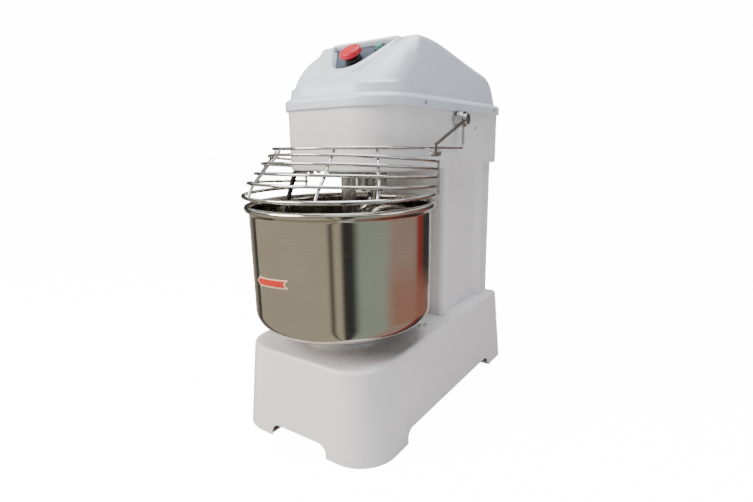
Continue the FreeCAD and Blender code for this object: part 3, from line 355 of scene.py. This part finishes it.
def cover_rows(count):
    """The cover's outer face, one column per outline point, from the flange's foot to the top."""
    outline = cover_outline()
    spine = np.stack([np.zeros(len(outline)), np.clip(outline[:, 1], 62, 455)], 1)
    away = outline - spine
    away /= np.linalg.norm(away, axis=1)[:, None]
    angle = (np.linspace(0, 1, ARC_SAMPLES) ** 1.7 * math.pi / 2)[:, None]
    flat, up = np.cos(angle), np.sin(angle)
    near, far = np.zeros((ARC_SAMPLES, len(outline))), np.full((ARC_SAMPLES, len(outline)), FAR_OUT)
    for _ in range(34):
        reach = (near + far) / 2
        x = spine[:, 0] + away[:, 0] * flat * reach
        y = spine[:, 1] + away[:, 1] * flat * reach
        inside = cover_field(x, y, FLANGE_LOW + up * reach) < 0
        near, far = np.where(inside, reach, near), np.where(inside, far, reach)
    across, high = flat * near, up * near
    bend = np.arctan2(np.diff(high, axis=0), -np.diff(across, axis=0) + 1e-9)
    turning = np.abs(np.diff(bend, axis=0, prepend=bend[:1]))
    length = np.hypot(np.diff(across, axis=0), np.diff(high, axis=0)) + 14 * np.minimum(turning, 0.6)
    travelled = np.concatenate([np.zeros((1, len(outline))), np.cumsum(length, axis=0)])
    points = np.zeros((count, len(outline), 3))
    for c in range(len(outline)):
        t = np.linspace(0, travelled[-1, c], count)
        a = np.interp(t, travelled[:, c], across[:, c])
        points[:, c, 0] = spine[c, 0] + away[c, 0] * a
        points[:, c, 1] = spine[c, 1] + away[c, 1] * a
        points[:, c, 2] = FLANGE_LOW + np.interp(t, travelled[:, c], high[:, c])
    return points


# the pocket for the controls, in the slope's own plane: u across, v up the slope
POCKET_RADIUS = 48.0
POCKET_CENTRE_V = 118.0
POCKET_TOP_V = 179.0
POCKET_TOP_HALF = 88.0
POCKET_DEPTH = 9.0
POCKET_CORNER = 7.0


def pocket_outline(grow):
    """The shield-shaped outline grown outwards, always with the same number of points."""
    r, half, top = POCKET_RADIUS + grow, POCKET_TOP_HALF + grow, POCKET_TOP_V + grow
    c = POCKET_CORNER + grow if grow > 1 - POCKET_CORNER else 1.0
    dx, dy = half - c, top - c - POCKET_CENTRE_V
    lean = math.atan2(dy, dx) - math.acos(min(1.0, (r - c) / math.hypot(dx, dy)))
    right = [(r * math.sin(a), POCKET_CENTRE_V - r * math.cos(a))
             for a in np.linspace(0, math.pi / 2 + lean, 40)]
    right += [(half - c + c * math.sin(a), top - c - c * math.cos(a))
              for a in np.linspace(math.pi / 2 + lean, math.pi, 16)]
    start, end = np.array(right[39]), np.array(right[40])
    side = [tuple(start + (end - start) * t) for t in np.linspace(0, 1, 22)[1:-1]]
    right = right[:40] + side + right[40:]
    right += [((half - c) * t, top) for t in np.linspace(1, 0, 18)[1:]]
    left = [(-u, v) for u, v in right[-2:0:-1]]
    return np.array(right + left)


def slope_points(u, v, w):
    """Points of the slope's plane, lifted by w along its normal."""
    y = SLOPE_START[0] + v * math.cos(SLOPE) - w * math.sin(SLOPE)
    z = SLOPE_START[1] + v * math.sin(SLOPE) + w * math.cos(SLOPE)
    return np.stack(np.broadcast_arrays(u, y, z), -1)


def surface_lift(u, v):
    """How far the cover's face lies above or below the slope's plane at u, v."""
    low, high = np.full(u.shape, -60.0), np.full(u.shape, 8.0)
    for _ in range(26):
        w = (low + high) / 2
        p = slope_points(u, v, w)
        inside = cover_field(p[..., 0], p[..., 1], p[..., 2]) < 0
        low, high = np.where(inside, w, low), np.where(inside, high, w)
    return (low + high) / 2


# distance out from the pocket's outline, and height: floor, wall, broad soft crest, outer flank
LIP_PROFILE = [(-6.0, -9.2), (-3.0, -9.2), (-0.6, -9.0), (0.0, -8.2), (0.8, -4.6), (1.6, -1.0), (2.8, 1.9),
               (5.0, 4.3), (9.0, 5.6), (14.0, 6.1), (18.5, 5.9), (22.0, 5.0), (24.5, 3.2), (26.5, 0.9),
               (28.5, -0.6), (32.0, -1.6)]


def inside_outline(ring, u, v):
    """Which of the points u, v lie inside a closed ring of points."""
    inside = np.zeros(len(u), bool)
    for (u0, v0), (u1, v1) in zip(ring, np.roll(ring, -1, axis=0)):
        crosses = (v0 > v) != (v1 > v)
        inside ^= crosses & (u < (u1 - u0) * (v - v0) / (v1 - v0 + 1e-12) + u0)
    return inside


def build_cover():
    rows = cover_rows(150)
    count, columns = rows.shape[:2]
    points = rows.reshape(-1, 3)
    faces = grid_faces(count, columns)
    v = ((points[:, 1] - SLOPE_START[0]) * math.cos(SLOPE)
         + (points[:, 2] - SLOPE_START[1]) * math.sin(SLOPE))
    w = slope_distance(points[:, 1], points[:, 2])
    inside = inside_outline(pocket_outline(6.0), points[:, 0], v) & (w > -25)
    faces = [f for f in faces if not all(inside[i] for i in f)]
    cover = make_piece("top_cover_shell", [place(*p) for p in points], faces, "cover", "machine",
                       "white_cover", "top_cover")
    drop_loose(cover)
    add_thickness(cover, 3.0)
    lip_rows = []
    for d, lift in LIP_PROFILE:
        base = pocket_outline(0.0)
        narrow = 1 - 0.72 * step(POCKET_TOP_V - 40, POCKET_TOP_V - 2, base[:, 1])
        ring = pocket_outline(d)
        grown = base + (ring - base) * (narrow if d > 0 else np.ones(len(base)))[:, None]
        height = lift * (narrow ** 0.5 if lift > 0 else 1.0)
        surface = surface_lift(grown[:, 0], grown[:, 1]) * step(2.0, 16.0, d)
        lip_rows.append(slope_points(grown[:, 0], grown[:, 1], height + surface))
    lip = np.array(lip_rows)
    lip_points = [place(*p) for p in lip.reshape(-1, 3)]
    surround = make_piece("panel_surround", lip_points, grid_faces(len(lip), lip.shape[1]), "cover",
                          "machine", "white_cover")
    add_subdivision(surround, 1)
    add_thickness(surround, 2.0)


def drop_loose(piece):
    """Removes points that no face uses, and merges the ones that coincide at the poles."""
    bm = bmesh.new()
    bm.from_mesh(piece.data)
    bmesh.ops.remove_doubles(bm, verts=bm.verts, dist=0.00002)
    bmesh.ops.delete(bm, geom=[v for v in bm.verts if not v.link_faces], context="VERTS")
    bmesh.ops.recalc_face_normals(bm, faces=bm.faces)
    bm.to_mesh(piece.data)
    bm.free()
    piece.data.shade_smooth()


def add_thickness(piece, thickness):
    shell = piece.modifiers.new("thickness", "SOLIDIFY")
    shell.thickness = thickness * MM
    shell.offset = -1.0


def add_subdivision(piece, levels):
    smooth = piece.modifiers.new("smooth", "SUBSURF")
    smooth.levels = smooth.render_levels = levels


build_cover()


# ---- turned pieces ------------------------------------------------------------------------------
def filleted(corners, steps=7):
    """A profile through corners given as (radius, height, fillet), each fillet drawn as an arc."""
    points = []
    for k, (x, y, fillet) in enumerate(corners):
        if not fillet:
            points.append((x, y))
            continue
        corner = Vector((x, y))
        back = (Vector(corners[k - 1][:2]) - corner).normalized()
        ahead = (Vector(corners[k + 1][:2]) - corner).normalized()
        half = back.angle(ahead) / 2
        centre = corner + (back + ahead).normalized() * fillet / math.sin(half)
        start = corner + back * fillet / math.tan(half) - centre
        end = corner + ahead * fillet / math.tan(half) - centre
        span = start.angle(end)
        for t in np.linspace(0, 1, steps):
            arm = (start * math.sin((1 - t) * span) + end * math.sin(t * span)) / math.sin(span)
            points.append(tuple(centre + arm))
    return points


def turned(name, profile, put, look, body, slot, *nodes, segments=96):
    """A profile of (radius, height) turned round an axis; put gives each point its place."""
    turns = [2 * math.pi * k / segments for k in range(segments)]
    points = [put(r * math.cos(a), r * math.sin(a), h) for r, h in profile for a in turns]
    piece = make_piece(name, points, grid_faces(len(profile), segments), look, body, slot, *nodes)
    drop_loose(piece)
    return piece


def on_panel(u, v):
    """Heights here are measured from the back of the control panel, along the slope's normal."""
    def put(across, along, height):
        return place(*slope_points(u + across, v + along, height - POCKET_DEPTH))
    return put


# the controls' places on the slope, and the mushroom's radius
STOP_V = 117.0
START_U, START_V = 50.0, 157.0
MUSHROOM = 26.0


def build_controls():
    stop, start = on_panel(0.0, STOP_V), on_panel(START_U, START_V)
    for name, put, collar, height, bore in (("estop_switch", stop, 19.0, 11.0, 8.05),
                                            ("start_switch", start, 14.5, 7.0, 9.05)):
        profile = filleted([(0, -37, 0), (15, -37, 0.8), (15, -19, 0.8), (11, -19, 0), (11, 2, 0),
                            (collar, 2, 0), (collar, height, 1.6), (bore + 3, height, 0.8),
                            (bore + 2, height - 1.2, 0), (bore, height - 1.2, 0), (bore, -18, 0),
                            (0, -18, 0)])
        turned(name + "_turned", profile, put, "black", "machine", "black_plastic", name)
    head = filleted([(0, -11, 0), (8, -11, 0.8), (8, 12, 0), (8, 21.5, 2.0), (22.5, 21.5, 0.6),
                     (23.2, 19, 0.5), (MUSHROOM, 19, 1.4), (MUSHROOM - 0.6, 30.6, 6.0), (0, 32, 0)])
    turned("stop_mushroom", head, stop, "red", "estop", "estop_red", "estop_button")
    button = filleted([(0, -12, 0), (9, -12, 0.8), (9, 14, 1.8), (6.0, 14, 0.6), (5.4, 13.4, 0.6),
                       (0, 13.4, 0)])
    turned("start_cap", button, start, "green", "start", "button_green", "start_button")


build_controls()

# the bowl's half section: bottom, wall, rolled rim, and back down inside
WALL_LOW, WALL_TOP, WALL = 203.0, 204.0, 1.5
RIM_RING, RIM_BEAD = 207.0, 7.0
BOWL_CORNER = 42.0
BOWL_FOOT = bowl_low.z
RIM_Z = bowl_high.z - RIM_BEAD


def wall_radius(z):
    corner_top = BOWL_FOOT + BOWL_CORNER
    return WALL_LOW + (WALL_TOP - WALL_LOW) * (z - corner_top) / (RIM_Z - corner_top)


def build_bowl():
    inner = WALL_TOP - WALL
    start = math.pi + math.acos((RIM_RING - WALL_TOP) / RIM_BEAD)
    end = 3 * math.pi - math.acos((RIM_RING - inner) / RIM_BEAD)
    corner = filleted([(0, BOWL_FOOT, 0), (WALL_LOW, BOWL_FOOT, BOWL_CORNER), (WALL_TOP, RIM_Z, 0)], 20)
    foot = [(r, BOWL_FOOT) for r in np.linspace(0, corner[1][0], 9)[:-1]]
    wall = [(wall_radius(z), z) for z in np.linspace(corner[-2][1], RIM_Z - 6, 26)[1:]]
    rim = [(RIM_RING + RIM_BEAD * math.cos(a), RIM_Z + RIM_BEAD * math.sin(a))
           for a in np.linspace(start, end, 40)]
    inside = [(r - WALL, z) for r, z in wall[::-1]]
    drop = filleted([(inner, RIM_Z, 0), (WALL_LOW - WALL, BOWL_FOOT + WALL, BOWL_CORNER - WALL),
                     (0, BOWL_FOOT + WALL, 0)], 20)[1:-1]
    floor = [(r, BOWL_FOOT + WALL) for r in np.linspace(drop[-1][0], 0, 9)[1:]]
    profile = foot + corner[1:-1] + wall + rim + inside + drop + floor
    turned("bowl_spun", profile, place, "bowl", "bowl", "stainless_bowl", "bowl", segments=288)


build_bowl()

# ---- direction arrow: a red arrow on a cream one, both bent round the bowl's wall ---------------
ARROW_Z = 378.0
ARROW_TILT = 0.08


def arrow_sheet(name, tip, neck, wing, half, notch, tail, lift, look, *nodes):
    """An arrow that points to -X, with a swallow tail; heights are from its middle line."""
    xs = sorted({*np.linspace(tip, neck, 12), *np.linspace(neck + 0.02, notch, 34),
                 *np.linspace(notch, tail, 8)})
    points, faces = [], []
    for side in (1, -1):
        first = len(points)
        for x in xs:
            top = wing * (x - tip) / (neck - tip) if x <= neck else half
            low = half * max(0.0, x - notch) / (tail - notch)
            for t in np.linspace(0, 1, 5):
                z = ARROW_Z + ARROW_TILT * x + side * (low + (top - low) * t)
                r = wall_radius(z) + lift
                points.append(place(x, -math.sqrt(r * r - x * x), z))
        sheet = grid_faces(len(xs), 5, False)
        faces += [tuple(first + i for i in (f if side < 0 else f[::-1])) for f in sheet]
    piece = make_piece(name, points, faces, look, "bowl", "arrow_label", *nodes)
    drop_loose(piece)
    add_thickness(piece, 0.18)


arrow_sheet("arrow_border", -83.0, -62.0, 14.0, 9.5, 14.0, 24.0, 0.25, "arrow_cream", "direction_arrow")
arrow_sheet("arrow_fill", -78.0, -65.5, 7.8, 6.6, 9.4, 15.7, 0.42, "arrow_red")

# ---- camera, floor, surroundings and lights -----------------------------------------------------
CAMERA_AT = Vector((0.68357, -1.009852, 0.647167))
CAMERA_YAW, CAMERA_PITCH, CAMERA_ROLL = 0.60603, 0.21878, -0.01718
CAMERA_LENS = 22.916


def make_camera():
    yaw, pitch, roll = CAMERA_YAW, CAMERA_PITCH, CAMERA_ROLL
    ahead = Vector((-math.sin(yaw) * math.cos(pitch), math.cos(yaw) * math.cos(pitch), -math.sin(pitch)))
    right = Vector((math.cos(yaw), math.sin(yaw), 0))
    up = right.cross(ahead)
    rolled_right = math.cos(roll) * right + math.sin(roll) * up
    rolled_up = -math.sin(roll) * right + math.cos(roll) * up
    data = bpy.data.cameras.new("camera")
    data.lens, data.sensor_width, data.sensor_fit = CAMERA_LENS, 36.0, "HORIZONTAL"
    camera = bpy.data.objects.new("camera", data)
    turn = Matrix((rolled_right, rolled_up, -ahead)).transposed().to_4x4()
    camera.matrix_world = Matrix.Translation(CAMERA_AT) @ turn
    bpy.context.scene.collection.objects.link(camera)
    bpy.context.scene.camera = camera


def make_floor():
    mesh = bpy.data.meshes.new("floor")
    size = 30.0
    mesh.from_pydata([(-size, -size, 0), (size, -size, 0), (size, size, 0), (-size, size, 0)], [],
                     [(0, 1, 2, 3)])
    material = bpy.data.materials.new("pale_floor")
    material.use_nodes = True
    t = Tree(material.node_tree)
    diffuse = t.add("BsdfDiffuse", {"Color": (0.86, 0.86, 0.86, 1)})
    glow = t.add("Emission", {"Color": (1, 1, 1, 1), "Strength": 14.0})
    seen = t.add("LightPath").outputs["Is Camera Ray"]
    glow_seen = t.add("MixShader", {"Fac": seen})
    t.tree.links.new(glow.outputs[0], glow_seen.inputs[2])
    both = t.add("AddShader")
    t.tree.links.new(diffuse.outputs[0], both.inputs[0])
    t.tree.links.new(glow_seen.outputs[0], both.inputs[1])
    t.tree.links.new(both.outputs[0], t.add("OutputMaterial").inputs[0])
    mesh.materials.append(material)
    floor = bpy.data.objects.new("floor", mesh)
    floor.visible_glossy = False
    bpy.context.scene.collection.objects.link(floor)


# a plain room for the steel to reflect: a few surfaces in a ring, each from one compass angle to
# another in degrees, and a warm floor on the right
WARM_WALL = (0.50, 0.45, 0.35)
COOL_WALL = (0.35, 0.40, 0.35)
BROWN_WALL = (0.40, 0.30, 0.25)
RED_PANEL = (0.30, 0.05, 0.05)
SHADE = (0.05, 0.05, 0.05)
ROOM = [(-155, -70, WARM_WALL), (-65, -65, SHADE), (-60, -55, WARM_WALL), (-50, -40, SHADE),
        (-30, 0, COOL_WALL), (15, 50, BROWN_WALL), (60, 65, RED_PANEL), (75, 110, SHADE),
        (145, 155, WARM_WALL), (175, 180, SHADE)]
WARM_FLOOR = (0.40, 0.20, 0.15)
WARM_FLOOR_SHARE = 0.78
# rings of light and dark above, which the round bars show
OVERHEAD = [(0.0, (0.30, 0.30, 0.29)), (0.06, (0.06, 0.06, 0.06)), (0.26, (0.05, 0.055, 0.06)),
            (0.34, (0.95, 0.96, 0.97)), (0.58, (1.0, 1.0, 1.0)), (0.68, (0.10, 0.10, 0.11)),
            (1.0, (0.30, 0.31, 0.32))]


def make_surroundings():
    world = bpy.data.worlds.new("studio")
    bpy.context.scene.world = world
    world.use_nodes = True
    t = Tree(world.node_tree)
    axes = t.add("SeparateXYZ", {"Vector": t.add("TexCoord").outputs["Generated"]})
    compass = t.math("ARCTAN2", axes.outputs["Y"], axes.outputs["X"])
    turn = t.math("ADD", t.math("DIVIDE", compass, 2 * math.pi), 0.5)
    bands = t.ramp(turn, [((angle + 180) / 360, colour)
                          for start, end, colour in ROOM for angle in sorted({start, end})])
    height = axes.outputs["Z"]
    side = t.ramp(turn, [(0.5, (0, 0, 0)), (0.55, (1, 1, 1)), (0.75, (1, 1, 1)), (0.8, (0, 0, 0))])
    under = t.math("DIVIDE", t.math("SUBTRACT", -0.25, height), 0.05)
    above = t.math("DIVIDE", t.math("ADD", height, 0.5), 0.1)
    low = t.add("Clamp", {"Value": t.math("MINIMUM", under, above)}).outputs[0]
    share = t.math("MULTIPLY", t.math("MULTIPLY", low, side), WARM_FLOOR_SHARE)
    patch = t.add("Mix", data_type="RGBA")
    t.tree.links.new(share, patch.inputs[0])
    t.tree.links.new(bands, patch.inputs[6])
    patch.inputs[7].default_value = (*WARM_FLOOR, 1)
    grey = t.add("RGBToBW", {"Color": bands}).outputs[0]
    level = t.add("MapRange", {"Value": height, "From Min": -0.11, "From Max": -0.03})
    muted = t.add("Mix", data_type="RGBA")
    t.tree.links.new(level.outputs[0], muted.inputs[0])
    t.tree.links.new(patch.outputs[2], muted.inputs[6])
    t.tree.links.new(t.ramp(grey, [(0.0, (0.02, 0.02, 0.02)), (1.0, (1.05, 1.05, 1.02))]),
                     muted.inputs[7])
    sky = t.add("MapRange", {"Value": height, "From Min": -0.02, "From Max": 0.03}).outputs[0]
    reflected = t.add("Mix", data_type="RGBA")
    t.tree.links.new(sky, reflected.inputs[0])
    t.tree.links.new(muted.outputs[2], reflected.inputs[6])
    t.tree.links.new(t.ramp(height, OVERHEAD), reflected.inputs[7])
    soft = t.add("Background", {"Color": (0.96, 0.97, 1.0, 1), "Strength": 0.29})
    steel = t.add("Background", {"Strength": 1.0})
    t.tree.links.new(reflected.outputs[2], steel.inputs["Color"])
    white = t.add("Background", {"Color": (1, 1, 1, 1), "Strength": 15.0})
    rays = t.add("LightPath")
    glossy = t.add("MixShader", {0: rays.outputs["Is Glossy Ray"]})
    t.tree.links.new(soft.outputs[0], glossy.inputs[1])
    t.tree.links.new(steel.outputs[0], glossy.inputs[2])
    seen = t.add("MixShader", {0: rays.outputs["Is Camera Ray"]})
    t.tree.links.new(glossy.outputs[0], seen.inputs[1])
    t.tree.links.new(white.outputs[0], seen.inputs[2])
    t.tree.links.new(seen.outputs[0], t.add("OutputWorld").inputs[0])


def make_light(name, position, target, size, power, colour):
    data = bpy.data.lights.new(name, "AREA")
    data.shape, data.size, data.energy, data.color = "DISK", size, power, colour
    light = bpy.data.objects.new(name, data)
    light.location = position
    light.rotation_euler = (Vector(target) - Vector(position)).to_track_quat("-Z", "Y").to_euler()
    bpy.context.scene.collection.objects.link(light)


make_camera()
make_floor()
make_surroundings()
make_light("key", (-1.9, -3.0, 2.5), (0, 0, 0.45), 2.8, 265, (1.0, 0.96, 0.92))
make_light("top", (0.1, 0.0, 3.4), (0, 0, 0.6), 2.8, 150, (0.90, 0.95, 1.0))
make_light("fill", (3.6, 0.4, 1.6), (0, 0, 0.45), 2.2, 20, (0.80, 0.88, 1.0))
